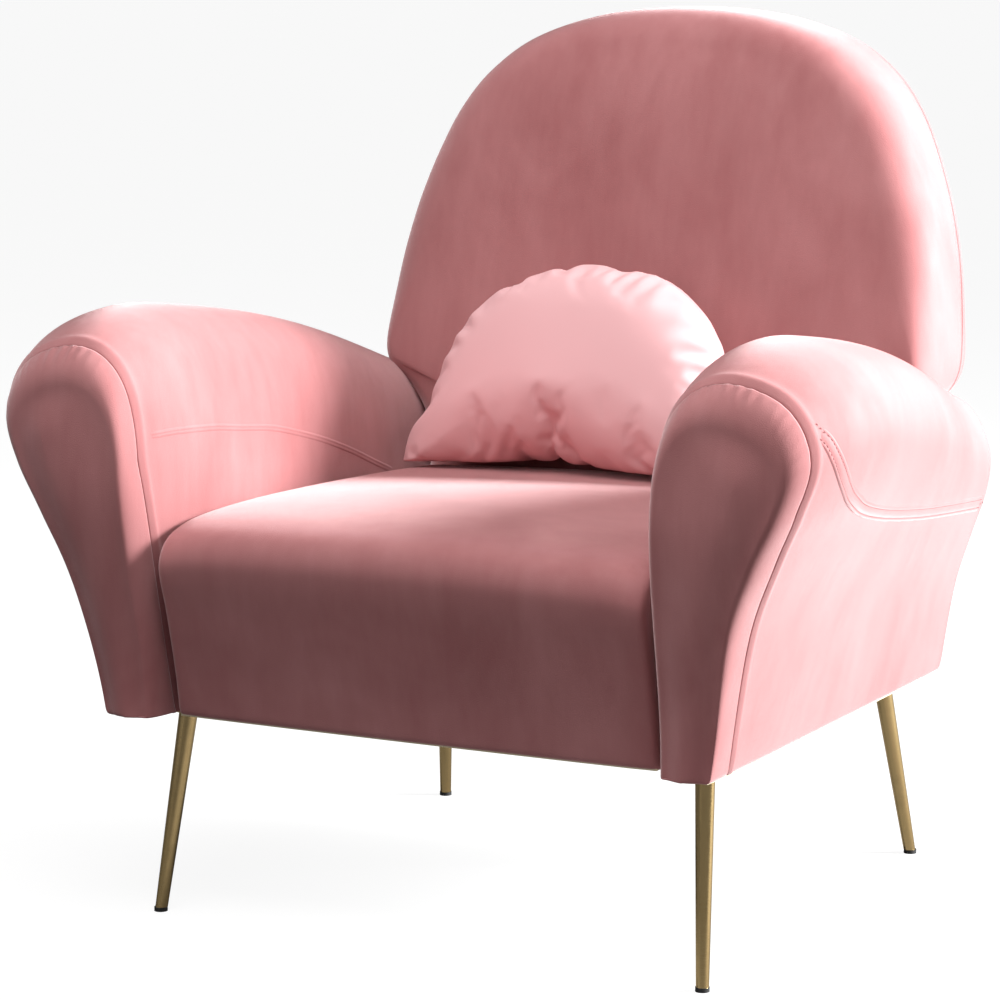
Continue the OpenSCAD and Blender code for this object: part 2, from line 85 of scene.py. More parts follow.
# Points well inside an arm's body and nose, for turning faces outwards.
ARM_HEART_X = 325 * MM
ARM_HEART_Z = 380 * MM
ARM_BODY_Y = -50 * MM
ARM_NOSE_Y = -250 * MM
# Rings that round off the arm's rear end, as (distance before the end, inset), and the outline's
# steps over which the inset grows.
ARM_TAIL = [(20 * MM, 3 * MM), (8 * MM, 10 * MM), (1 * MM, 24 * MM)]
TAIL_INSET_RUN = 3
# The plane of the seam round the arm's front panel: its y at the underside, and (height, y) higher up.
SEAM_LOW_Y = -294 * MM
SEAM_HIGH = (445 * MM, -345 * MM)
# Topstitched seams across the arm's outer and inner faces, as (y, z) in millimetres.
OUTER_YOKE = [(-337, 520), (-332, 512), (-325, 504), (-316, 491), (-301, 476), (-281, 461), (-254, 446),
              (-205, 430), (-120, 413), (2, 396), (107, 385), (205, 376), (234, 374)]
INNER_YOKE = [(-340, 467), (-310, 468), (-286, 468), (-231, 465), (-181, 459), (-129, 453), (-85, 444),
              (-26, 429), (30, 411), (75, 394), (125, 376)]

# Side outline of the seat as (y, drop below its top) in millimetres, from the front bottom edge to the rear.
SEAT_FRONT = [(-308, None), (-316, 160), (-330, 105), (-341, 62), (-342, 38), (-331, 19), (-308, 9),
              (-268, 3), (-190, 0), (-80, 1), (20, 4), (90, 7), (142, 10)]
SEAT_CROWN = 8 * MM
SEAT_EDGE_DROP = 5 * MM

# Right half of the back's outline as (x, z) in millimetres, up to the middle of the arch.
BACK_HALF = [(250, None), (250, 320), (250, 403), (255, 422), (263, 440), (277, 458), (294, 471),
             (306, 488), (310, 518), (304, 590), (293, 643), (282, 679), (268, 715), (248, 755),
             (217, 794), (167, 829), (90, 852)]
BACK_FRONT_Y = 124 * MM
BACK_LEAN = 0.185
# The back's edge as (depth, inset), from its front face round to its rear face.
BACK_EDGE = [(0, 40), (4, 26), (12, 13), (24, 4), (42, 0), (66, 0), (90, 0), (112, 5), (125, 18)]
BACK_SEAM_STEP = 6.5
SHOULDER_Z = 502 * MM
SHOULDER_REACH = 64 * MM
SHOULDER_EASE = 0.6


# ---- Sizes and colours a user would change ----

class UpholsterySizes(bpy.types.PropertyGroup):
    underside: FloatProperty(
        name="Underside", description="Height of the upholstered underside above the floor",
        default=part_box("arm_cover_left")[0].z, unit="LENGTH")
    seat_top: FloatProperty(
        name="Seat top", description="Height of the seat's crown above the floor",
        default=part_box("seat_cover")[1].z, unit="LENGTH")
    seat_half: FloatProperty(
        name="Seat half width", description="Half the width of the seat between the arms",
        default=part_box("seat_cover")[1].x, unit="LENGTH")
    back_top: FloatProperty(
        name="Back top", description="Height of the top of the arched back",
        default=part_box("back_cover")[1].z, unit="LENGTH")
    arm_front: FloatProperty(
        name="Arm front", description="How far forward the flat of the arm's front panel stands",
        default=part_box("arm_front_panel_left")[0].y, unit="LENGTH")
    arm_end: FloatProperty(
        name="Arm end", description="How far back the arms reach",
        default=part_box("arm_cover_left")[1].y + 1 * MM, unit="LENGTH")
    cloth: FloatProperty(
        name="Cloth", description="Thickness of the velvet with its backing", default=0.0016, unit="LENGTH")
    tuck: FloatProperty(
        name="Tuck", description="How deep a panel's edge turns in at a seam", default=0.007, unit="LENGTH")
    lip: FloatProperty(
        name="Lip", description="Height of the ridge over a seam allowance", default=0.0016, unit="LENGTH")
    panel_dome: FloatProperty(
        name="Panel dome", description="How far the padding pushes out the arm's front panel",
        default=0.007, unit="LENGTH")
    stitch: FloatProperty(
        name="Stitch", description="Distance from one stitch to the next", default=0.0042, unit="LENGTH")


class CushionSizes(bpy.types.PropertyGroup):
    half_width: FloatProperty(
        name="Half width", description="Half the width of the loose cushion", default=0.198, unit="LENGTH")
    height: FloatProperty(
        name="Height", description="Height of the loose cushion along its face", default=0.232, unit="LENGTH")
    thickness: FloatProperty(
        name="Thickness", description="Thickness of the filled cushion", default=0.132, unit="LENGTH")
    tilt: FloatProperty(
        name="Tilt", description="How far the cushion leans back", default=math.radians(16), subtype="ANGLE")
    turn: FloatProperty(
        name="Turn", description="How far the cushion is turned about the vertical",
        default=math.radians(-4), subtype="ANGLE")
    pressure: FloatProperty(
        name="Pressure", description="Pressure that fills the cushion's cover", default=3.2)
    steps: IntProperty(
        name="Steps", description="Steps that the filling of the cover takes", default=36)


class ChairColours(bpy.types.PropertyGroup):
    pile: FloatVectorProperty(
        name="Pile", description="Velvet seen along its nap", subtype="COLOR", default=(0.46, 0.190, 0.192))
    pile_shade: FloatVectorProperty(
        name="Pile shade", description="Velvet brushed against its nap", subtype="COLOR",
        default=(0.33, 0.112, 0.114))
    # The cushion's two colours are the chair's velvet darkened to about half: painted shade, so that the
    # cushion reads darker than the back under the same lights.
    cushion_pile_painted_shade: FloatVectorProperty(
        name="Cushion pile", description="The cushion's velvet seen along its nap", subtype="COLOR",
        default=(0.23, 0.064, 0.064))
    cushion_against_nap_painted_shade: FloatVectorProperty(
        name="Cushion shade", description="The cushion's velvet brushed against its nap", subtype="COLOR",
        default=(0.165, 0.040, 0.040))
    bloom: FloatVectorProperty(
        name="Bloom", description="Pale sheen at the pile's tips", subtype="COLOR", default=(1.0, 0.78, 0.79))
    thread: FloatVectorProperty(
        name="Thread", description="Sewing thread", subtype="COLOR", default=(0.42, 0.16, 0.165))
    brass: FloatVectorProperty(
        name="Brass", description="Polished plating on the legs", subtype="COLOR", default=(0.78, 0.56, 0.26))
    floor: FloatVectorProperty(
        name="Floor", description="Plain studio floor", subtype="COLOR", default=(0.9, 0.9, 0.9))


class StageSizes(bpy.types.PropertyGroup):
    azimuth: FloatProperty(
        name="Azimuth", description="How far round to the chair's left hand the camera stands",
        default=math.radians(27.825), subtype="ANGLE")
    elevation: FloatProperty(
        name="Elevation", description="How steeply the camera looks down", default=math.radians(8.588),
        subtype="ANGLE")
    camera_x: FloatProperty(
        name="Camera X", description="Camera's place, to the side", default=1.493, unit="LENGTH")
    camera_y: FloatProperty(
        name="Camera Y", description="Camera's place, in front", default=-2.955, unit="LENGTH")
    camera_z: FloatProperty(name="Camera Z", description="Camera's height", default=0.882, unit="LENGTH")
    lens: FloatProperty(
        name="Lens", description="Focal length in millimetres on a 36 mm sensor", default=122.87)
    floor_radius: FloatProperty(
        name="Floor radius", description="Radius of the plain floor", default=220.0, unit="LENGTH")
    side_light: FloatProperty(
        name="Side light", description="Power of the large light at the side", default=340.0)
    top_light: FloatProperty(name="Top light", description="Power of the light above", default=48.0)
    front_light: FloatProperty(
        name="Front light", description="Power of the weak light in front", default=6.0)
    sky: FloatProperty(name="Sky", description="Strength of the even light all round", default=0.20)


# ---- Curves and forms ----

def blend(a, b, t):
    return tuple(p * (1 - t) + q * t for p, q in zip(a, b))


def ease(t):
    t = max(0.0, min(1.0, t))
    return t * t * (3 - 2 * t)


def bell(t):
    return math.exp(-t * t)


def curve_at(points, u):
    """Point on the smooth curve through the points, at u from 0 to the last one's number."""
    last = len(points) - 1
    i = min(int(math.floor(max(u, 0))), last - 1)
    t = max(0.0, min(u, last)) - i
    a, b = points[max(i - 1, 0)], points[i]
    c, d = points[i + 1], points[min(i + 2, last)]
    return tuple(
        0.5 * (2 * q + (r - p) * t + (2 * p - 5 * q + 4 * r - s) * t * t + (3 * q - p - 3 * r + s) * t ** 3)
        for p, q, r, s in zip(a, b, c, d))


def sampled(points, steps):
    """The smooth curve through the points, at so many steps from each to the next."""
    return [curve_at(points, i / steps) for i in range((len(points) - 1) * steps + 1)]


def heading(outline, i):
    """The direction that a sampled outline runs in at its point i."""
    before, after = outline[max(i - 1, 0)], outline[min(i + 1, len(outline) - 1)]
    return Vector((after[0] - before[0], after[1] - before[1])).normalized()


def halved(low, high, holds):
    """Where a test that holds at low stops holding on the way to high, by halving the gap."""
    for _ in range(24):
        middle = (low + high) / 2
        if holds(middle):
            low = middle
        else:
            high = middle
    return (low + high) / 2


def in_metres(outline, floor):
    return [(x * MM, floor if z is None else z * MM) for x, z in outline]


def even_path(points, step):
    """Points about step apart along the smooth curve through the given (y, z) points."""
    fine = sampled(points, 40)
    path, travelled = [fine[0]], 0.0
    for before, after in zip(fine, fine[1:]):
        travelled += math.dist(before, after)
        if travelled >= step:
            path.append(after)
            travelled = 0.0
    return path


class ArmForm:
    """The padded outside of one arm: u runs round its outline and v from its nose to its rear end."""

    def __init__(self, side, sizes):
        self.side = side
        self.floor = sizes.underside
        self.front_y = sizes.arm_front
        self.end_y = sizes.arm_end
        self.nose = in_metres(ARM_NOSE, self.floor)
        self.crest = in_metres(ARM_CREST, self.floor)
        self.rear = in_metres(ARM_REAR, self.floor)
        self.seams = {}

    def station(self, v):
        """Outline, y and inset of the ring at v, which is 1 at the crest and 2 where the rear end starts."""
        if v <= 1:
            turn = v * math.pi / 2
            outline = [blend(a, b, math.sin(turn)) for a, b in zip(self.nose, self.crest)]
            return outline, ARM_CREST_Y + (self.front_y - ARM_CREST_Y) * math.cos(turn), 0.0
        if v <= 2:
            t = v - 1
            lift = ARM_HUMP * math.sin(math.pi * t)
            outline = []
            for a, b in zip(self.crest, self.rear):
                x, z = blend(a, b, t)
                outline.append((x, z + lift * ease((z - ARM_HUMP_FROM) / ARM_HUMP_RISE)))
            return outline, ARM_CREST_Y + (ARM_REAR_Y - ARM_CREST_Y) * t, 0.0
        tail = [(self.end_y - ARM_REAR_Y, 0.0)] + ARM_TAIL
        before_end, inset = curve_at(tail, (v - 2) * len(ARM_TAIL))
        return self.rear, self.end_y - before_end, inset

    def heart(self, y):
        """A point well inside the arm, at a y."""
        return self.side * ARM_HEART_X, y, ARM_HEART_Z

    def middle(self, u, v):
        """The point inside the padding that the ring at v closes in on."""
        outline, y, _ = self.station(v)
        near, far = curve_at(outline, u), curve_at(outline, ARM_LAST - u)
        apex = curve_at(outline, ARM_APEX)[1]
        squeeze = (apex - MIDDLE_DEPTH - self.floor) / (apex - self.floor)
        x, z = (near[0] + far[0]) / 2, self.floor + ((near[1] + far[1]) / 2 - self.floor) * squeeze
        return self.placed(x, y, z)

    def placed(self, x, y, z):
        low = 1 - ease((z - self.floor) / FRONT_RAKE_HEIGHT)
        rake = FRONT_RAKE * low * ease((FRONT_RAKE_END - y) / FRONT_RAKE_RUN)
        return Vector((self.side * x, y + rake, z))

    def point(self, u, v):
        outline, y, inset = self.station(v)
        x, z = curve_at(outline, u)
        here = self.placed(x, y, z)
        if inset == 0:
            return here
        inward = self.middle(u, v) - here
        inward.y = 0
        return here + inward.normalized() * inset * ease((u - 1) / TAIL_INSET_RUN)

    def seam_y(self, z):
        high_z, high_y = SEAM_HIGH
        t = max(0.0, min(1.0, (z - self.floor) / (high_z - self.floor)))
        return SEAM_LOW_Y + (high_y - SEAM_LOW_Y) * t

    def seam(self, u):
        """Where on the nose the front panel's seam crosses the line at u."""
        def ahead(v):
            here = self.point(u, v)
            return here.y < self.seam_y(here.z)

        key = round(u, 4)
        if key not in self.seams:
            self.seams[key] = halved(0.0, 1.0, ahead)
        return self.seams[key]

    def behind_seam(self, u, share):
        """v at a share of the way back from the seam to the crest, in even steps of depth."""
        reach = self.front_y - ARM_CREST_Y
        seam_depth = math.cos(self.seam(u) * math.pi / 2) * reach
        depth = seam_depth * (1 - share)
        return math.acos(max(0.0, min(1.0, depth / reach))) / (math.pi / 2)

    def v_at(self, y):
        if y <= ARM_CREST_Y:
            return math.acos(min(1.0, (y - ARM_CREST_Y) / (self.front_y - ARM_CREST_Y))) / (math.pi / 2)
        return min(2.0, 1 + (y - ARM_CREST_Y) / (ARM_REAR_Y - ARM_CREST_Y))

    def u_at(self, v, z, outer):
        """The place on the ring at v, on its outer or inner face, that is z high."""
        end = float(ARM_LAST) if outer else 0.0
        start = ARM_APEX if outer else ARM_APEX - 1.0
        return halved(start, end, lambda u: self.point(u, v).z > z)

    def normal(self, u, v):
        d = 0.01
        across = self.point(min(u + d, ARM_LAST), v) - self.point(max(u - d, 0), v)
        along = self.point(u, min(v + d, 3)) - self.point(u, max(v - d, 0))
        out = across.cross(along).normalized()
        return out if out.dot(self.point(u, v) - self.middle(u, v)) > 0 else -out


def back_outline(sizes, steps):
    """The back's outline as (x, z), from its left bottom corner over the arch to the right one."""
    half = in_metres(BACK_HALF, sizes.underside) + [(0.0, sizes.back_top)]
    mirrored = [(-x, z) for x, z in half[-2::-1]]
    return sampled([(-x, z) for x, z in half + mirrored], steps)


def back_y(z, sizes):
    """The y of the back's leaning front plane at a height."""
    return BACK_FRONT_Y + BACK_LEAN * (z - sizes.underside)


def back_point(outline, i, depth, extra, sizes):
    """A point on the back's edge, extra inside the outline and depth behind its front face."""
    x, z = outline[i]
    along = heading(outline, i)
    inset = extra * (1 - SHOULDER_EASE * bell((z - SHOULDER_Z) / SHOULDER_REACH))
    x, z = x + inset * along.y, z - inset * along.x
    z = max(z, sizes.underside) if 0 < i < len(outline) - 1 else sizes.underside
    return Vector((x, back_y(z, sizes) + depth, z))


def squashed(gap, give, reach):
    """A gap to a surface, where soft filling flattens against it instead of passing through."""
    return give * math.exp((gap - give) / reach) if gap < give else gap


# ---- Mesh helpers ----

def face_outward(bm, middle):
    """Turns a sheet's faces away from the middle of its piece."""
    turned = sum(f.normal.dot(f.calc_center_median() - middle) * f.calc_area() for f in bm.faces)
    if turned < 0:
        bmesh.ops.reverse_faces(bm, faces=bm.faces[:])


def laid_grid(columns, rows, place, middle, weld=0.0):
    """A grid whose vertices go to place(column, row), for each pair of entries in the two lists."""
    bm = bmesh.new()
    across, along = len(columns) - 1, len(rows) - 1
    bmesh.ops.create_grid(bm, x_segments=across, y_segments=along, size=0.5)
    for vert in bm.verts:
        column = columns[round((vert.co.x + 0.5) * across)]
        row = rows[round((vert.co.y + 0.5) * along)]
        vert.co = place(column, row)
    if weld:
        bmesh.ops.remove_doubles(bm, verts=bm.verts, dist=weld)
    bmesh.ops.dissolve_degenerate(bm, edges=bm.edges, dist=1e-6)
    bm.normal_update()
    face_outward(bm, Vector(middle))
    return bm


def finished(bm, name, material, body):
    """Makes the bmesh an object that rides on a body and takes a material."""
    mesh = bpy.data.meshes.new(name)
    for face in bm.faces:
        face.smooth = True
    bm.to_mesh(mesh)
    bm.free()
    piece = bpy.data.objects.new(name, mesh)
    bpy.context.scene.collection.objects.link(piece)
    mesh.materials.append(material)
    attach(piece, body)
    return piece


def add_smoothing(piece):
    smoothing = piece.modifiers.new("Smoothing", "SUBSURF")
    smoothing.levels = 1
    smoothing.render_levels = 1


def covered(bm, name, thickness):
    """A smoothed velvet cover on the chair, with the cloth's thickness under its face."""
    piece = finished(bm, name, chair_velvet(), "chair")
    add_smoothing(piece)
    shell = piece.modifiers.new("Cloth", "SOLIDIFY")
    shell.thickness = thickness
    shell.offset = -1
    return piece


def surface_noise(point, scale, seed):
    return noise.noise(Vector(point) * scale + Vector((seed * 7.3, seed * 3.1, seed * 5.7)))


# ---- Materials ----

class Finish:
    """A material being made: its node tree, shader and pattern coordinates."""

    def __init__(self, name):
        self.material = bpy.data.materials.new(name)
        self.material.use_nodes = True
        self.tree = self.material.node_tree
        self.shader = self.tree.nodes["Principled BSDF"]
        self.place = self.node("ShaderNodeTexCoord").outputs["Object"]

    def node(self, kind, **values):
        """A new node, with its options and sockets set by name, where _ stands for a space."""
        node = self.tree.nodes.new(kind)
        for name, value in values.items():
            if hasattr(node, name):
                setattr(node, name, value)
            else:
                node.inputs[name.replace("_", " ")].default_value = value
        return node

    def link(self, source, target):
        self.tree.links.new(source, target)

    def scaled(self, x, y, z):
        mapping = self.node("ShaderNodeMapping", Scale=(x, y, z))
        self.link(self.place, mapping.inputs["Vector"])
        return mapping.outputs["Vector"]

    def grain(self, scale, detail, rough, place=None, distortion=0.0):
        texture = self.node("ShaderNodeTexNoise", Scale=scale, Detail=detail, Roughness=rough,
                            Distortion=distortion)
        self.link(place or self.place, texture.inputs["Vector"])
        return texture.outputs["Fac"]

    def bands(self, direction, scale, distortion, detail=2.0):
        wave = self.node("ShaderNodeTexWave", wave_type="BANDS", bands_direction=direction, Scale=scale,
                         Distortion=distortion, Detail=detail)
        self.link(self.place, wave.inputs["Vector"])
        return wave.outputs["Fac"]

    def spread(self, source, low, high, to_low=0.0, to_high=1.0):
        """The source's run from low to high, stretched to run from to_low to to_high."""
        spread = self.node("ShaderNodeMapRange", From_Min=low, From_Max=high, To_Min=to_low, To_Max=to_high)
        self.link(source, spread.inputs["Value"])
        return spread.outputs["Result"]

    def mixed(self, factor, first, second):
        """Two colours mixed by a factor, where each is a socket or a plain colour."""
        mix = self.node("ShaderNodeMix", data_type="RGBA")
        self.link(factor, mix.inputs[0])
        for value, target in ((first, mix.inputs[6]), (second, mix.inputs[7])):
            if hasattr(value, "links"):
                self.link(value, target)
            else:
                target.default_value = (*value, 1.0)
        return mix.outputs[2]

    def summed(self, first, second, share):
        """The first plus a share of the second."""
        add = self.node("ShaderNodeMath", operation="MULTIPLY_ADD")
        self.link(second, add.inputs[0])
        add.inputs[1].default_value = share
        self.link(first, add.inputs[2])
        return add.outputs[0]

    def bump(self, height, distance, strength):
        bump = self.node("ShaderNodeBump", Strength=strength, Distance=distance)
        self.link(height, bump.inputs["Height"])
        self.link(bump.outputs["Normal"], self.shader.inputs["Normal"])

    def set(self, **sockets):
        for name, value in sockets.items():
            self.shader.inputs[name.replace("_", " ")].default_value = value

    def colour(self, source):
        self.link(source, self.shader.inputs["Base Color"])

    def roughness(self, source):
        self.link(source, self.shader.inputs["Roughness"])


def velvet(name, pile, shade, bloom, streak, sheen):
    """Short pile: brushed patches, upright streaks, a fine fibre grain and a pale sheen."""
    made = Finish(name)
    patches = made.grain(6.5, 3.0, 0.55, made.scaled(1.0, 1.0, streak), 0.6)
    strokes = made.grain(38.0, 4.0, 0.6, made.scaled(1.0, 1.0, 0.16))
    fibres = made.grain(1500.0, 2.0, 0.6)
    brushed = made.spread(made.summed(patches, strokes, 0.35), 0.48, 0.92)
    base = made.mixed(brushed, pile, shade)
    worn = made.mixed(made.spread(fibres, 0.3, 0.7, 0.0, 0.22), base, shade)
    made.colour(worn)
    made.roughness(made.spread(strokes, 0.3, 0.7, 0.62, 0.86))
    made.set(Sheen_Weight=sheen, Sheen_Roughness=0.42, Sheen_Tint=(*bloom, 1.0), Specular_IOR_Level=0.22)
    made.bump(made.summed(fibres, strokes, 0.9), 0.0006, 0.55)
    return made.material


def brass(name, shade):
    """Polished plating with faint polishing lines round the taper and a little tarnish."""
    made = Finish(name)
    lines = made.grain(260.0, 3.0, 0.6, made.scaled(0.4, 0.4, 2.4))
    tarnish = made.grain(28.0, 4.0, 0.6)
    dull = tuple(c * 0.62 for c in shade)
    made.colour(made.mixed(made.spread(tarnish, 0.5, 0.8, 0.0, 0.6), shade, dull))
    made.roughness(made.spread(made.summed(tarnish, lines, 0.4), 0.4, 1.0, 0.1, 0.26))
    made.set(Metallic=1.0)
    made.bump(lines, 0.0002, 0.2)
    return made.material


def steel(name, shade, low, high):
    """Zinc plate or oiled wire with fine drawn lines."""
    made = Finish(name)
    lines = made.grain(420.0, 3.0, 0.6, made.scaled(0.3, 1.0, 1.0))
    blotches = made.grain(60.0, 3.0, 0.6)
    made.colour(made.mixed(made.spread(blotches, 0.4, 0.7), shade, tuple(c * 0.7 for c in shade)))
    made.roughness(made.spread(lines, 0.3, 0.7, low, high))
    made.set(Metallic=1.0)
    made.bump(lines, 0.0002, 0.3)
    return made.material


def timber(name, light, dark, layers):
    """Planed softwood, or plywood when layers is more than 0."""
    made = Finish(name)
    rings = made.bands("Y", layers, 1.0, 3.0) if layers else made.bands("Z", 14.0, 6.0, 3.0)
    pores = made.grain(420.0, 3.0, 0.6, made.scaled(1.0, 0.12, 1.0))
    figure = made.summed(rings, pores, 0.5)
    made.colour(made.mixed(made.spread(figure, 0.2, 1.3), light, dark))
    made.roughness(made.spread(pores, 0.3, 0.7, 0.55, 0.75))
    made.bump(pores, 0.0004, 0.4)
    return made.material


def foam(name, light, dark, cell):
    """Open-cell foam or loose fibre."""
    made = Finish(name)
    cells = made.node("ShaderNodeTexVoronoi", Scale=cell)
    made.link(made.place, cells.inputs["Vector"])
    clouds = made.grain(9.0, 3.0, 0.6)
    made.colour(made.mixed(made.spread(clouds, 0.35, 0.7), light, dark))
    made.roughness(made.spread(clouds, 0.3, 0.7, 0.8, 0.95))
    made.bump(cells.outputs["Distance"], 0.0008, 0.6)
    return made.material


def woven(name, light, dark, pitch):
    """Plain weave for webbing and the cloth under the seat."""
    made = Finish(name)
    weave = made.summed(made.bands("X", pitch, 0.4), made.bands("Y", pitch, 0.4), 1.0)
    fuzz = made.grain(600.0, 2.0, 0.6)
    made.colour(made.mixed(made.spread(made.summed(weave, fuzz, 0.6), 0.4, 2.0), dark, light))
    made.roughness(made.spread(fuzz, 0.3, 0.7, 0.75, 0.95))
    made.bump(weave, 0.0004, 0.5)
    return made.material


def moulded(name, shade):
    """Moulded rubber or nylon with a fine texture and scuffs."""
    made = Finish(name)
    speckle = made.grain(900.0, 2.0, 0.6)
    scuffs = made.grain(45.0, 4.0, 0.7)
    made.colour(made.mixed(made.spread(scuffs, 0.5, 0.75), shade, tuple(c * 1.8 + 0.01 for c in shade)))
    made.roughness(made.spread(scuffs, 0.3, 0.7, 0.45, 0.7))
    made.bump(speckle, 0.0002, 0.35)
    return made.material


def paper_floor(name, colours):
    """Seamless studio paper, lit evenly where the camera sees it and too dull to colour the chair."""
    made = Finish(name)
    mottle = made.grain(3.0, 3.0, 0.6)
    made.colour(made.mixed(made.spread(mottle, 0.3, 0.7, 0.0, 0.3), (0.16, 0.16, 0.16), (0.13, 0.13, 0.13)))
    made.set(Roughness=0.9, Specular_IOR_Level=0.1, Emission_Color=(*colours.floor, 1.0))
    seen = made.node("ShaderNodeLightPath").outputs["Is Camera Ray"]
    made.link(seen, made.shader.inputs["Emission Strength"])
    return made.material


def shared(name, make, *details):
    """The material of that name, made the first time it is asked for."""
    return bpy.data.materials.get(name) or make(name, *details)


def chair_velvet():
    colours = bpy.context.scene.chair_colours
    return shared("dusty_pink_velvet", velvet, colours.pile, colours.pile_shade, colours.bloom, 0.7, 0.85)


def cushion_velvet():
    # The frame brings a plain material of this name, and shared() gives that one, not this velvet.
    colours = bpy.context.scene.chair_colours
    # Its colours are darkened copies of the chair's pile and pile shade: painted shade on the cushion.
    pile, shade = colours.cushion_pile_painted_shade, colours.cushion_against_nap_painted_shade
    return shared("cushion_velvet", velvet, pile, shade, colours.bloom, 1.0, 0.25)


def sewing_thread():
    thread = bpy.context.scene.chair_colours.thread
    return shared("sewing_thread", foam, thread, tuple(c * 0.7 for c in thread), 2400.0)


# ---- Operators ----

# How far a hem turns in, with the radius of its edge and the sizes of its corner.
HEM_TURN = 12 * MM
HEM_LIFT = 1.2 * MM
HEM_ROUND = 4 * MM
HEM_CORNER = 1.2 * MM
HEM_CORNER_LIFT = 0.4 * MM
# The hems beside the seat and back lie against them and turn in very little.
INNER_HEM_SHARE = 0.1
# Steps over which a sewn ribbon's ends fade, and how deep they sink.
RIBBON_FADE = 4
RIBBON_SINK = 1.2 * MM
SEAM_WELD = 0.2 * MM


def arm_columns(steps):
    """Places round the arm's outline: the hem turned under at both ends, and the outline between them."""
    outline = [("on", i / steps) for i in range(ARM_LAST * steps + 1)]
    return [("under", 0.0), ("corner", 0.0)] + outline + [("corner", ARM_LAST), ("under", ARM_LAST)]


def with_hem(form, kind, point, middle):
    """The point, moved to the rounded bottom edge or turned under it."""
    if kind == "on":
        return Vector((point.x, point.y, max(point.z, form.floor + HEM_ROUND)))
    turn, lift = (HEM_TURN, HEM_LIFT) if kind == "under" else (HEM_CORNER, HEM_CORNER_LIFT)
    if abs(point.x) < abs(middle.x):
        turn *= INNER_HEM_SHARE
    inward = middle - point
    inward.z = 0
    shift = inward.normalized() * min(turn, 0.8 * inward.length)
    return Vector((point.x + shift.x, point.y + shift.y, form.floor + lift))


class ARMCHAIR_OT_arm_covers(bpy.types.Operator):
    """Covers both arms behind the front panels' seams"""
    bl_idname = "armchair.arm_covers"
    bl_label = "Arm Covers"

    steps = 6
    # The first rows' distances behind the seam in millimetres; the last one lies at the crest.
    near_seam = [0, 2, 4.5, 7, 9.5, 12.5, 17, 24, 34, 48, 66, 88, 113]
    body_rows = 18
    tail_rows = 6
    closing = [0.25, 0.55, 0.82, 1.0]
    tuck_back = 1.2 * MM

    def rows(self):
        """Each row's rule and value, from the edge tucked in at the seam to the closed rear end."""
        nose = [("nose", d / self.near_seam[-1]) for d in self.near_seam]
        body = [("v", 1 + (i + 1) / self.body_rows) for i in range(self.body_rows)]
        tail = [("v", 2 + (i + 1) / self.tail_rows) for i in range(self.tail_rows)]
        return [("tuck", 1.0), ("tuck", 0.35)] + nose + body + tail + [("close", c) for c in self.closing]

    def ridge(self, share):
        """The ridge over the seam allowance and the dip beside it, a share of the way to the crest."""
        distance = share * self.near_seam[-1]
        return bell((distance - 7.5) / 3.2) - 0.55 * bell(distance / 1.6)

    def execute(self, context):
        sizes = context.scene.chair_sizes
        for name, side in SIDES.items():
            form = ArmForm(side, sizes)

            def place(column, row):
                kind, u = column
                rule, value = row
                if rule == "close":
                    point, middle = form.point(u, 3), form.middle(u, 3)
                    point = point.lerp(Vector((middle.x, point.y + 1 * MM, middle.z)), value)
                    return with_hem(form, kind, point, middle)
                v = value if rule == "v" else form.behind_seam(u, value if rule == "nose" else 0)
                point, middle = form.point(u, v), form.middle(u, v)
                outward = (point - middle).normalized()
                if rule == "tuck":
                    point = point - outward * sizes.tuck * value + Vector((0, self.tuck_back * value, 0))
                elif rule == "nose":
                    point = point + outward * sizes.lip * self.ridge(value)
                return with_hem(form, kind, point, middle)

            bm = laid_grid(arm_columns(self.steps), self.rows(), place, form.heart(ARM_BODY_Y), SEAM_WELD)
            piece = covered(bm, f"arm_cover_velvet_{name}", sizes.cloth)
            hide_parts(f"arm_cover_{name}")
        return {"FINISHED"}


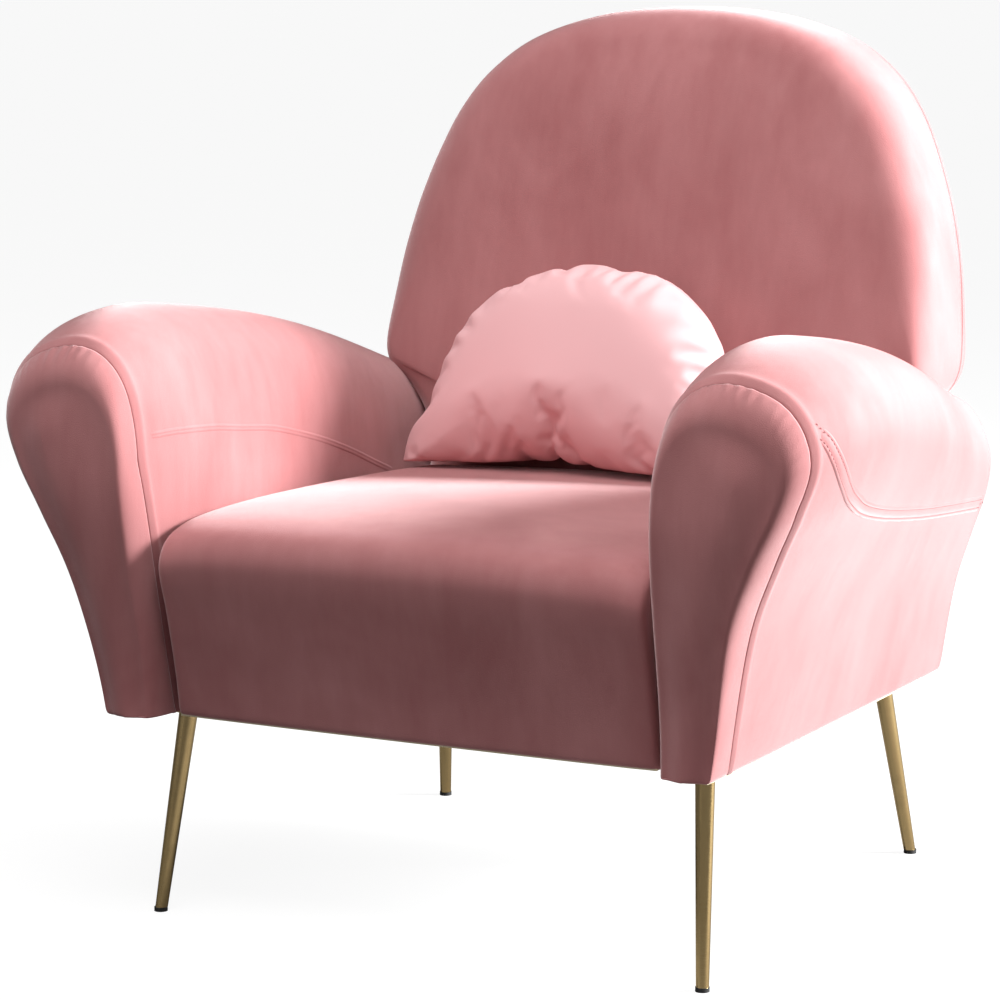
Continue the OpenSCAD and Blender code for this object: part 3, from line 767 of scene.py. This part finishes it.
class ARMCHAIR_OT_arm_front_panels(bpy.types.Operator):
    """Makes the domed teardrop panels on the arms' fronts, gathered at the top of their seams"""
    bl_idname = "armchair.arm_front_panels"
    bl_label = "Arm Front Panels"

    face_rows = 10
    edge_rows = 12
    steps = 16
    bulge = 1.2 * MM
    tuck_ahead = 0.8 * MM
    # The gathers' pitch and height, how far past the apex they centre, and their spread along the outline.
    gather_pitch = 8.5 * MM
    gather_height = 1.1 * MM
    gather_past_apex = 0.6
    gather_spread = 2.2
    # About how much of the seam one step of u covers.
    seam_per_step = 21 * MM

    def gather(self, form, u, v_share):
        """Small pleats where the panel is eased into the top of the seam."""
        at_top = bell((u - ARM_APEX - self.gather_past_apex) / self.gather_spread)
        near = ease((v_share - 0.35) / 0.65)
        along = u * self.seam_per_step
        waver = 2.2 * surface_noise((along, 0, 0), 60, form.side + 3)
        wave = math.sin(2 * math.pi * along / self.gather_pitch + waver)
        return self.gather_height * at_top * near * wave * (0.5 + surface_noise((along, 0.3, 0), 45, 2))

    def execute(self, context):
        sizes = context.scene.chair_sizes
        rows = [("face", i / self.face_rows) for i in range(self.face_rows)]
        rows += [("edge", i / self.edge_rows) for i in range(self.edge_rows + 1)]
        rows += [("tuck", 0.35), ("tuck", 1.0)]
        for name, side in SIDES.items():
            form = ArmForm(side, sizes)

            def place(column, row):
                kind, u = column
                rule, value = row
                if rule == "face":
                    middle = form.middle(u, 0)
                    point = middle.lerp(form.point(u, 0), value)
                    dome = sizes.panel_dome * (1 - value ** 2) ** 2
                    point.y = form.placed(0, form.front_y, point.z).y - dome
                    return with_hem(form, kind, point, middle)
                v = form.seam(u) * (value if rule == "edge" else 1)
                point, middle = form.point(u, v), form.middle(u, v)
                outward = (point - middle).normalized()
                if rule == "tuck":
                    point = point - outward * sizes.tuck * value - Vector((0, self.tuck_ahead * value, 0))
                else:
                    ahead = Vector((outward.x, -0.8, outward.z)).normalized()
                    rise = self.bulge * math.sin(math.pi * value) + self.gather(form, u, value)
                    point = point + ahead * rise
                return with_hem(form, kind, point, middle)

            bm = laid_grid(arm_columns(self.steps), rows, place, form.heart(ARM_NOSE_Y), SEAM_WELD)
            piece = covered(bm, f"arm_front_velvet_{name}", sizes.cloth)
            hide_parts(f"arm_front_panel_{name}")
        return {"FINISHED"}


def sewn_spots(form, path, outer):
    """Where a seam's path lies on the arm, and which way the arm faces there."""
    spots = []
    for y, z in path:
        v = form.v_at(y)
        u = form.u_at(v, z, outer)
        spots.append((form.point(u, v), form.normal(u, v)))
    return spots


def ribbon(spots, profile, middle):
    """A narrow raised strip along the spots, with the profile (across, out) at each, sunk in at its ends."""
    last = len(spots) - 1

    def place(column, row):
        here, out = spots[row]
        ahead = spots[min(row + 1, last)][0] - spots[max(row - 1, 0)][0]
        across = ahead.normalized().cross(out)
        sideways, height = column
        fade = ease(min(row, last - row) / RIBBON_FADE)
        return here + across * sideways + out * (height * fade - RIBBON_SINK * (1 - fade))

    return laid_grid(profile, range(last + 1), place, middle)


class ARMCHAIR_OT_yoke_seams(bpy.types.Operator):
    """Sews the topstitched seams that cross the arms' outer and inner faces"""
    bl_idname = "armchair.yoke_seams"
    bl_label = "Yoke Seams"

    # Sections across the seams, as (across, out) in millimetres.
    outer_profile = [(-9.5, -1.2), (-7.2, 0.35), (-5.6, 0.95), (-4.2, 0.2), (-2.6, 1.0), (0, 1.15),
                     (2.6, 1.0), (4.2, 0.2), (5.6, 0.95), (7.2, 0.35), (9.5, -1.2)]
    inner_profile = [(-5.0, -1.2), (-3.0, 0.4), (-1.2, 1.0), (0, 0.1), (1.2, 0.8), (3.0, 0.2), (5.0, -1.2)]
    step = 5 * MM
    thickness = 1 * MM
    # Lines of stitches, as their distance across, and half of each stitch's section and its height.
    stitch_lines = {"upper": -4.2 * MM, "lower": 4.2 * MM}
    stitch_section = (0.42 * MM, 0.36 * MM)
    stitch_lift = 0.6 * MM

    def stitches(self, spots, sideways, sizes):
        """A row of short raised stitches along the spots."""
        bm = bmesh.new()
        size = Matrix.Diagonal((sizes.stitch * 0.36, *self.stitch_section, 1))
        for (here, out), (ahead, _) in zip(spots[1:-1], spots[2:]):
            run = (ahead - here).normalized()
            across = run.cross(out).normalized()
            turn = Matrix((run, across, out)).transposed().to_4x4()
            place = Matrix.Translation(here + across * sideways + out * self.stitch_lift) @ turn @ size
            bmesh.ops.create_icosphere(bm, subdivisions=1, radius=1, matrix=place)
        return bm

    def execute(self, context):
        sizes = context.scene.chair_sizes
        for name, side in SIDES.items():
            form = ArmForm(side, sizes)
            for label, route, profile in (("outer", OUTER_YOKE, self.outer_profile),
                                          ("inner", INNER_YOKE, self.inner_profile)):
                spots = sewn_spots(form, even_path(in_metres(route, 0), self.step), label == "outer")
                bm = ribbon(spots, in_metres(profile, 0), form.heart(ARM_BODY_Y))
                covered(bm, f"{label}_yoke_seam_{name}", self.thickness)
            spots = sewn_spots(form, even_path(in_metres(OUTER_YOKE, 0), sizes.stitch), True)
            for label, sideways in self.stitch_lines.items():
                bm = self.stitches(spots, sideways, sizes)
                finished(bm, f"yoke_stitches_{label}_{name}", sewing_thread(), "chair")
        return {"FINISHED"}


class ARMCHAIR_OT_seat_cover(bpy.types.Operator):
    """Makes the crowned waterfall seat with its edges tucked down beside the arms"""
    bl_idname = "armchair.seat_cover"
    bl_label = "Seat Cover"

    steps = 6
    # The rounded side edge, as (in from the side, down from the top) in millimetres.
    edge = [(0, 42), (0, 18), (0, 8), (0.9, 4.2), (3.0, 1.4), (6.5, 0.2), (11, 0)]
    inner_columns = 26
    ripple = 0.9 * MM
    rear_drops = (20 * MM, 45 * MM)
    rear_turn = 2 * MM

    def execute(self, context):
        sizes = context.scene.chair_sizes
        half = sizes.seat_half
        outline = sampled([(y * MM, sizes.underside if drop is None else sizes.seat_top - drop * MM)
                           for y, drop in SEAT_FRONT], self.steps)
        left = [(-half + a * MM, b * MM) for a, b in self.edge]
        span = half - self.edge[-1][0] * MM
        inner = [(span * (2 * i / self.inner_columns - 1), 0.0) for i in range(1, self.inner_columns)]
        columns = left + inner + [(-x, inset) for x, inset in reversed(left)]
        last = len(outline) - 1
        rows = [("under", 0, 0), ("corner", 0, 0)] + [("on", i, 0) for i in range(last + 1)]
        rows += [("down", last, down) for down in self.rear_drops]

        def place(column, row):
            x, inset = column
            kind, i, down = row
            along = heading(outline, i)
            y, z = outline[i]
            s = abs(x) / half
            drop = SEAT_CROWN * s * s + SEAT_EDGE_DROP * ease((s - 0.86) / 0.14)
            upper = ease((z - 0.3) / 0.08)
            y, z = y + inset * along.y, z - inset * along.x - drop * upper
            back = 0.4 * drop * (1 - ease((y + 0.33) / 0.06))
            ripple = self.ripple * surface_noise((x, y, z), 7, 4) * (1 - ease((s - 0.8) / 0.15))
            y, z = y + back + ripple * along.y, z + ripple * along.x
            if kind == "down":
                return Vector((x, y + self.rear_turn, z - down))
            if kind == "under":
                return Vector((x * 0.985, y + HEM_TURN, sizes.underside + HEM_LIFT))
            if kind == "corner":
                return Vector((x, y + HEM_CORNER, sizes.underside + HEM_CORNER_LIFT))
            return Vector((x, y, max(z, sizes.underside + HEM_ROUND)))

        piece = covered(laid_grid(columns, rows, place, (0, -0.05, 0.3)), "seat_cover_velvet", sizes.cloth)
        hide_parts("seat_cover")
        return {"FINISHED"}


class ARMCHAIR_OT_back_covers(bpy.types.Operator):
    """Makes the back's crowned front cover and the panel that closes it behind"""
    bl_idname = "armchair.back_covers"
    bl_label = "Back Covers"

    steps = 5
    face_rows = 12
    crown = 11.5 * MM
    top_clearance = 190 * MM
    ripple = 1 * MM
    # The crease low on the right: its middle as (x, z), slant, depth, and the sizes of its valley and fold.
    crease_middle = (190 * MM, 585 * MM)
    crease_slant = (0.62, 0.78)
    crease_depth = 1.3 * MM
    crease_length = 18 * MM
    valley_width = 4 * MM
    fold_width = 5 * MM
    fold_at = 8 * MM
    # The rear panel starts this far behind the seam; both panels' tucked edges slant this much.
    rear_gap = 1.2 * MM
    rear_dome = 1.5 * MM
    tuck_slant = 0.2

    def middle(self, outline, i, depth, sizes):
        """Where the rings of the face close in, squeezed down from the outline's top."""
        tall = sizes.back_top - sizes.underside
        z = sizes.underside + (outline[i][1] - sizes.underside) * ((tall - self.top_clearance) / tall)
        return Vector((0, back_y(z, sizes) + depth, z))

    def crease(self, point):
        """The small slanting crease low on the back's right side."""
        x, z = point.x - self.crease_middle[0], point.z - self.crease_middle[1]
        c, s = self.crease_slant
        across = x * s + z * c
        valley = bell(across / self.valley_width) - bell((across - self.fold_at) / self.fold_width)
        return self.crease_depth * bell((x * c - z * s) / self.crease_length) * valley

    def execute(self, context):
        sizes = context.scene.chair_sizes
        outline = back_outline(sizes, self.steps)
        edge_line = in_metres(BACK_EDGE, 0)

        def edge_point(i, rule, value, gap, slant):
            depth, inset = curve_at(edge_line, value if rule == "edge" else BACK_SEAM_STEP)
            sink = sizes.tuck * value if rule == "tuck" else 0
            return back_point(outline, i, depth + gap + sink * slant, inset + sink, sizes)

        def place_front(i, row):
            rule, value = row
            if rule != "face":
                return edge_point(i, rule, value, 0, self.tuck_slant)
            rim = back_point(outline, i, 0, edge_line[0][1], sizes)
            point = self.middle(outline, i, 0, sizes).lerp(rim, value)
            point.y -= self.crown * (1 - value ** 4)
            point.y += self.ripple * surface_noise(point, 6, 8) + self.crease(point)
            return point

        def place_rear(i, row):
            rule, value = row
            if rule != "face":
                return edge_point(i, rule, value, self.rear_gap, -self.tuck_slant)
            depth, inset = edge_line[-1]
            rim = back_point(outline, i, depth, inset, sizes)
            point = rim.lerp(self.middle(outline, i, depth, sizes), value)
            point.y += self.rear_dome * (1 - (1 - value) ** 2)
            return point

        front = [("face", i / self.face_rows) for i in range(self.face_rows)]
        front += [("edge", i / 3) for i in range(int(BACK_SEAM_STEP * 3) + 1)]
        front += [("tuck", 0.4), ("tuck", 1.0)]
        rear_reach = len(BACK_EDGE) - 1 - BACK_SEAM_STEP
        rear = [("tuck", 1.0), ("tuck", 0.4)]
        rear += [("edge", BACK_SEAM_STEP + rear_reach * i / 5) for i in range(6)]
        rear += [("face", (i + 1) / 8) for i in range(8)]
        for label, rows, place, node, middle in (
                ("back_cover_velvet", front, place_front, "back_cover", (0, 0.25, 0.5)),
                ("outside_back_velvet", rear, place_rear, "outside_back_cover", (0, 0.2, 0.5))):
            bm = laid_grid(range(len(outline)), rows, place, middle, SEAM_WELD)
            piece = covered(bm, label, sizes.cloth)
            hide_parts(node)
        return {"FINISHED"}


class ARMCHAIR_OT_loose_cushion(bpy.types.Operator):
    """Sews a half-moon cover, fills it by cloth simulation and stands it against the back"""
    bl_idname = "armchair.loose_cushion"
    bl_label = "Loose Cushion"

    rim_points = 120
    flat_thickness = 12 * MM
    voxel = 5 * MM
    # Share of the seam that runs over the arch, and the sizes of the ears and of the sagging foot.
    arch_share = 0.66
    ear = 0.09
    sag = 0.04
    heart_share = 0.42
    fullness = 0.92
    pleats = 34
    pleat_depth = 0.10
    cloth = {"quality": 6, "mass": 0.25, "tension_stiffness": 14, "compression_stiffness": 14,
             "shear_stiffness": 6, "bending_stiffness": 0.25, "use_pressure": True,
             "vertex_group_shrink": "seam", "shrink_min": -0.03, "shrink_max": 0.07}
    # Where the foot stands, from the middle, front and foot of its stand-in in the frame.
    from_stand_in = (-2 * MM, 50 * MM, -22 * MM)
    # How deep the cushion sinks in the seat, its distance from the back, and how softly it flattens.
    seat_dent = 3 * MM
    back_clearance = 13 * MM
    give = 6 * MM
    seat_reach = 14 * MM
    back_reach = 12 * MM

    def seam_line(self, sizes, t):
        """Point t of the way round the cover's half-moon outline, with a small ear at each lower corner."""
        if t < self.arch_share:
            angle = math.pi * (1 - t / self.arch_share)
            c, s = math.cos(angle), math.sin(angle)
            x = math.copysign(abs(c) ** 0.88, c)
            ear = self.ear * bell((1 - abs(c)) / 0.02)
            return sizes.half_width * x * (1 + ear), sizes.height * max(s, 0) ** 0.8
        x = 1 - 2 * (t - self.arch_share) / (1 - self.arch_share)
        ear = self.ear * bell((1 - abs(x)) / 0.06)
        return sizes.half_width * x * (1 + ear), -self.sag * sizes.height * (1 - x * x)

    def flat_cover(self, sizes):
        bm = bmesh.new()
        made = bmesh.ops.create_circle(bm, cap_ends=True, segments=self.rim_points, radius=1)
        bm.verts.ensure_lookup_table()
        for i, vert in enumerate(made["verts"]):
            x, z = self.seam_line(sizes, i / self.rim_points)
            vert.co = Vector((x, -self.flat_thickness / 2, z))
        grown = bmesh.ops.extrude_face_region(bm, geom=bm.faces[:])
        moved = [item for item in grown["geom"] if isinstance(item, bmesh.types.BMVert)]
        bmesh.ops.translate(bm, verts=moved, vec=(0, self.flat_thickness, 0))
        bmesh.ops.recalc_face_normals(bm, faces=bm.faces)
        mesh = bpy.data.meshes.new("loose_cushion_velvet")
        bm.to_mesh(mesh)
        bm.free()
        return mesh

    def rim_nearness(self, rim, heart, x, z):
        """0 at the heart of the outline and 1 on its seam."""
        turn = math.atan2(z - heart, x)
        below = max((angle for angle in rim if angle[0] <= turn), default=rim[-1])
        above = min((angle for angle in rim if angle[0] > turn), default=rim[0])
        gap = (above[0] - below[0]) % (2 * math.pi) or 1.0
        share = ((turn - below[0]) % (2 * math.pi)) / gap
        reach = below[1] * (1 - share) + above[1] * share
        return min(1.0, math.hypot(x, z - heart) / reach)

    def plump(self, piece, sizes):
        """Rounds the flat cover up to about its filled shape, before the cloth settles."""
        heart = self.heart_share * sizes.height
        rim = []
        for i in range(self.rim_points):
            x, z = self.seam_line(sizes, i / self.rim_points)
            rim.append((math.atan2(z - heart, x), math.hypot(x, z - heart)))
        rim.sort()
        swell = self.fullness * sizes.thickness / self.flat_thickness - 1
        for vert in piece.data.vertices:
            near = self.rim_nearness(rim, heart, vert.co.x, vert.co.z)
            dome = (1 - near ** 3) ** 0.7
            turn = math.atan2(vert.co.z - heart, vert.co.x)
            c, s = math.cos(turn), math.sin(turn)
            pleat = math.sin(self.pleats * turn + 4 * surface_noise((c, s, 0), 3, 5))
            depth = self.pleat_depth * max(0.0, 0.35 + 1.6 * surface_noise((c, s, 1), 1.6, 9))
            gather = 1 + depth * pleat * bell((near - 0.9) / 0.09)
            vert.co.y *= (1 + dome * swell) * gather

    def baked(self, piece):
        """Replaces the piece's mesh by what its modifiers make of it."""
        graph = bpy.context.evaluated_depsgraph_get()
        mesh = bpy.data.meshes.new_from_object(piece.evaluated_get(graph))
        piece.modifiers.clear()
        old, piece.data = piece.data, mesh
        bpy.data.meshes.remove(old)

    def fill(self, piece, sizes):
        """Lets the pressure settle the cover, with its seam drawn up a little."""
        rim = piece.vertex_groups.new(name="seam")
        for vert in piece.data.vertices:
            closeness = 1 - min(1.0, abs(vert.co.y) / (self.flat_thickness * 0.5))
            if closeness > 0:
                rim.add([vert.index], closeness, "REPLACE")
        cloth = piece.modifiers.new("Cloth", "CLOTH")
        for name, value in self.cloth.items():
            setattr(cloth.settings, name, value)
        cloth.settings.uniform_pressure_force = sizes.pressure
        cloth.settings.effector_weights.gravity = 0
        cloth.collision_settings.use_collision = False
        cloth.point_cache.frame_start = 1
        cloth.point_cache.frame_end = sizes.steps
        scene = bpy.context.scene
        for step in range(1, sizes.steps + 1):
            scene.frame_set(step)
        self.baked(piece)
        scene.frame_set(1)

    def shaped(self, piece, sizes):
        """Brings the filled cover to its size, stands it in its place and rests it on the seat."""
        verts = piece.data.vertices
        low = [min(v.co[k] for v in verts) for k in range(3)]
        high = [max(v.co[k] for v in verts) for k in range(3)]
        target = (2 * sizes.half_width, sizes.thickness, sizes.height)
        scale = [target[k] / (high[k] - low[k]) for k in range(3)]
        cad_low, cad_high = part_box("cushion_cover")
        spot = Vector(((cad_low.x + cad_high.x) / 2, cad_low.y, cad_low.z)) + Vector(self.from_stand_in)
        turn = Matrix.Rotation(sizes.turn, 4, "Z") @ Matrix.Rotation(-sizes.tilt, 4, "X")
        chair = bpy.context.scene.chair_sizes
        for v in verts:
            x = (v.co.x - (low[0] + high[0]) / 2) * scale[0]
            y = (v.co.y - (low[1] + high[1]) / 2) * scale[1]
            z = (v.co.z - low[2]) * scale[2]
            v.co = spot + turn @ Vector((x, y, z))
        for v in verts:
            s = abs(v.co.x) / chair.seat_half
            rest = chair.seat_top - SEAT_CROWN * s * s - self.seat_dent
            v.co.z = rest + squashed(v.co.z - rest, self.give, self.seat_reach)
            wall = back_y(v.co.z, chair) - self.back_clearance
            v.co.y = wall - squashed(wall - v.co.y, self.give, self.back_reach)

    def execute(self, context):
        sizes = context.scene.chair_cushion
        piece = bpy.data.objects.new("loose_cushion_velvet", self.flat_cover(sizes))
        context.scene.collection.objects.link(piece)
        remesh = piece.modifiers.new("Remesh", "REMESH")
        remesh.mode = "VOXEL"
        remesh.voxel_size = self.voxel
        self.baked(piece)
        self.plump(piece, sizes)
        self.fill(piece, sizes)
        self.shaped(piece, sizes)
        for polygon in piece.data.polygons:
            polygon.use_smooth = True
        piece.data.materials.clear()
        piece.data.materials.append(cushion_velvet())
        add_smoothing(piece)
        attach(piece, "cushion")
        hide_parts("cushion_cover", "cushion_fill")
        return {"FINISHED"}


class ARMCHAIR_OT_frame_finishes(bpy.types.Operator):
    """Gives the legs, frame, springs, foam and fixings their finishes"""
    bl_idname = "armchair.frame_finishes"
    bl_label = "Frame Finishes"

    def execute(self, context):
        finishes = {
            "plywood": timber("birch_plywood", (0.62, 0.43, 0.24), (0.40, 0.25, 0.12), 190.0),
            "rail_timber": timber("planed_pine", (0.60, 0.40, 0.20), (0.36, 0.20, 0.09), 0),
            "bolt_steel": steel("zinc_plate", (0.62, 0.63, 0.65), 0.28, 0.45),
            "screw_steel": steel("blackened_screw", (0.20, 0.20, 0.21), 0.35, 0.5),
            "spring_steel": steel("oiled_spring_wire", (0.26, 0.27, 0.29), 0.25, 0.4),
            "foam": foam("cream_foam", (0.83, 0.74, 0.52), (0.72, 0.61, 0.40), 900.0),
            "webbing": woven("elastic_webbing", (0.08, 0.06, 0.05), (0.03, 0.025, 0.02), 220.0),
            "dust_cloth": woven("black_dust_cloth", (0.022, 0.022, 0.024), (0.009, 0.009, 0.010), 420.0),
            "polyester_fill": foam("polyester_fibre", (0.88, 0.87, 0.83), (0.78, 0.77, 0.73), 300.0),
            "leg_brass": brass("polished_brass", context.scene.chair_colours.brass),
            "glide_rubber": moulded("black_glide", (0.02, 0.02, 0.02)),
            "pink_velvet": chair_velvet(),
            "cushion_velvet": cushion_velvet(),
        }
        for part in frame["record"]["subparts"]:
            node = frame["nodes"][part["node"]]
            node.data.materials.clear()
            node.data.materials.append(finishes[part["material_slot"]])
        return {"FINISHED"}


class ARMCHAIR_OT_stage(bpy.types.Operator):
    """Sets the plain floor, the soft lights and the camera"""
    bl_idname = "armchair.stage"
    bl_label = "Stage"

    # Where each light stands, the height on the chair it is aimed at, and its width and height.
    lights = {"side_light": ((2.5, 1.2, 1.4), 0.45, (0.9, 1.0)),
              "top_light": ((0.1, -0.7, 2.3), 0.4, (1.6, 1.6)),
              "front_light": ((-1.6, -2.6, 1.3), 0.45, (2.0, 1.6))}

    def light(self, name, place, aim, size, power):
        lamp = bpy.data.lights.new(name, "AREA")
        lamp.shape = "RECTANGLE"
        lamp.size, lamp.size_y = size
        lamp.energy = power
        holder = bpy.data.objects.new(name, lamp)
        holder.location = place
        holder.rotation_euler = (Vector((0, 0, aim)) - Vector(place)).to_track_quat("-Z", "Y").to_euler()
        bpy.context.scene.collection.objects.link(holder)

    def execute(self, context):
        stage = context.scene.chair_stage
        colours = context.scene.chair_colours
        bm = bmesh.new()
        bmesh.ops.create_circle(bm, cap_ends=True, segments=96, radius=stage.floor_radius)
        mesh = bpy.data.meshes.new("studio_floor")
        bm.to_mesh(mesh)
        bm.free()
        floor = bpy.data.objects.new("studio_floor", mesh)
        context.scene.collection.objects.link(floor)
        mesh.materials.append(paper_floor("studio_paper", colours))
        for name, (place, aim, size) in self.lights.items():
            self.light(name, place, aim, size, getattr(stage, name))
        world = bpy.data.worlds.new("even_sky")
        world.use_nodes = True
        background = world.node_tree.nodes["Background"]
        background.inputs["Color"].default_value = (1, 1, 1, 1)
        # The camera sees the sky as pale as the floor, whatever light the sky gives.
        seen = world.node_tree.nodes.new("ShaderNodeMapRange")
        seen.inputs["To Min"].default_value = stage.sky
        seen.inputs["To Max"].default_value = colours.floor[0]
        path = world.node_tree.nodes.new("ShaderNodeLightPath")
        world.node_tree.links.new(path.outputs["Is Camera Ray"], seen.inputs["Value"])
        world.node_tree.links.new(seen.outputs["Result"], background.inputs["Strength"])
        context.scene.world = world
        camera_data = bpy.data.cameras.new("portrait_camera")
        camera_data.lens = stage.lens
        camera_data.sensor_width = 36
        camera = bpy.data.objects.new("portrait_camera", camera_data)
        camera.location = (stage.camera_x, stage.camera_y, stage.camera_z)
        a, e = stage.azimuth, stage.elevation
        ahead = Vector((-math.sin(a) * math.cos(e), math.cos(a) * math.cos(e), -math.sin(e)))
        camera.rotation_euler = ahead.to_track_quat("-Z", "Y").to_euler()
        context.scene.collection.objects.link(camera)
        context.scene.camera = camera
        context.scene.view_settings.view_transform = "Standard"
        return {"FINISHED"}


class ARMCHAIR_PT_panel(bpy.types.Panel):
    """Lists the chair's operators and sizes"""
    bl_idname = "ARMCHAIR_PT_panel"
    bl_label = "Armchair"
    bl_space_type = "VIEW_3D"
    bl_region_type = "UI"
    bl_category = "Armchair"

    def draw(self, context):
        for group_name in GROUPS:
            group = getattr(context.scene, group_name)
            box = self.layout.box()
            for name in group.__annotations__:
                box.prop(group, name)
        for operator in OPERATORS:
            self.layout.operator(operator.bl_idname)


OPERATORS = (ARMCHAIR_OT_stage, ARMCHAIR_OT_frame_finishes, ARMCHAIR_OT_arm_covers,
             ARMCHAIR_OT_arm_front_panels, ARMCHAIR_OT_yoke_seams, ARMCHAIR_OT_seat_cover,
             ARMCHAIR_OT_back_covers, ARMCHAIR_OT_loose_cushion)
GROUPS = {"chair_sizes": UpholsterySizes, "chair_cushion": CushionSizes, "chair_colours": ChairColours,
          "chair_stage": StageSizes}


def register():
    for name, group in GROUPS.items():
        bpy.utils.register_class(group)
        setattr(bpy.types.Scene, name, PointerProperty(type=group))
    for operator in OPERATORS:
        bpy.utils.register_class(operator)
    bpy.utils.register_class(ARMCHAIR_PT_panel)


def unregister():
    bpy.utils.unregister_class(ARMCHAIR_PT_panel)
    for operator in reversed(OPERATORS):
        bpy.utils.unregister_class(operator)
    for name, group in GROUPS.items():
        delattr(bpy.types.Scene, name)
        bpy.utils.unregister_class(group)


def main():
    register()
    bpy.ops.armchair.stage()
    bpy.ops.armchair.frame_finishes()
    bpy.ops.armchair.arm_covers()
    bpy.ops.armchair.arm_front_panels()
    bpy.ops.armchair.yoke_seams()
    bpy.ops.armchair.seat_cover()
    bpy.ops.armchair.back_covers()
    bpy.ops.armchair.loose_cushion()


if __name__ == "__main__":
    main()
